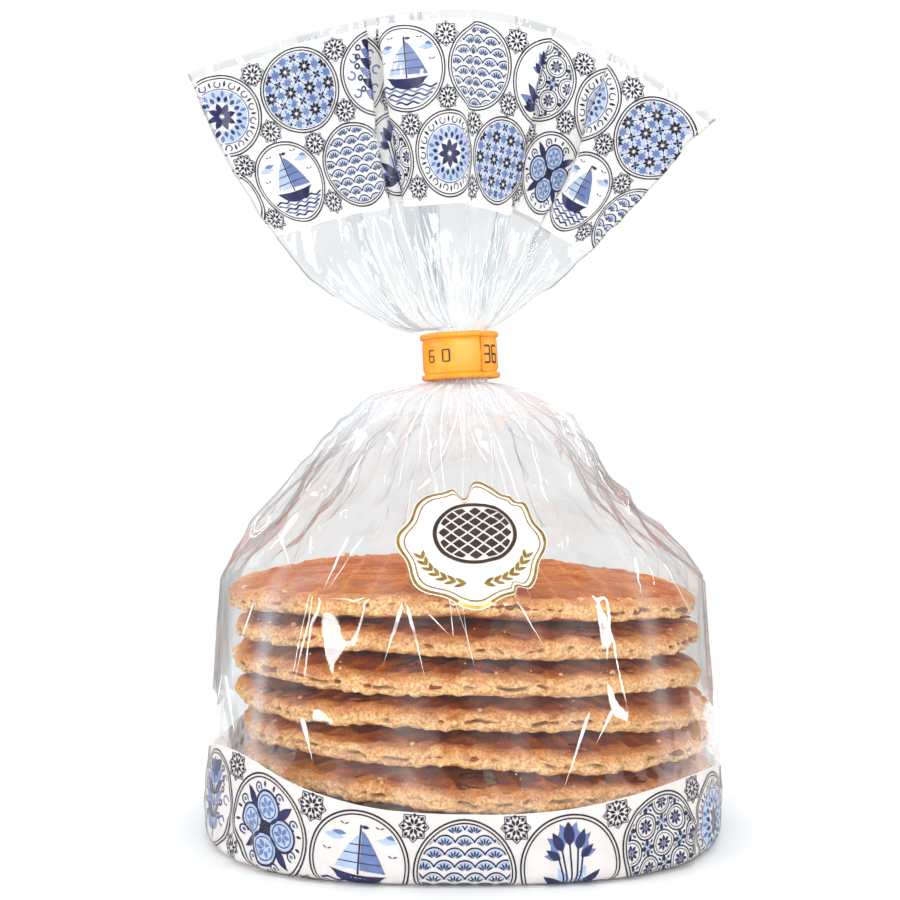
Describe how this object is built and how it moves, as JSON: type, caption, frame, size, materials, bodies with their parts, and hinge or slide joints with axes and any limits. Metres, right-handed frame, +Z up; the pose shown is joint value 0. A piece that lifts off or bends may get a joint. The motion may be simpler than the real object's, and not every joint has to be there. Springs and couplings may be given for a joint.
{
  "type": "bag of stroopwafels",
  "caption": "Clear film bag of stacked stroopwafels with a blue and white tile print, gathered at the neck by an orange clip band under a flared crown.",
  "frame": {"origin": "middle of the bag's outline at the height of its base", "axes": "+Z up, -Y towards the front of the bag (the side of the badge), +X to the viewer's right"},
  "size_m": [0.1046, 0.1024, 0.1592],
  "materials": {
    "film": "clear gloss film with a printed base and crown",
    "clip": "satin"
  },
  "bodies": {
    "root": {"bag": "film", "clip_band": "clip"}
  },
  "joints": []
}
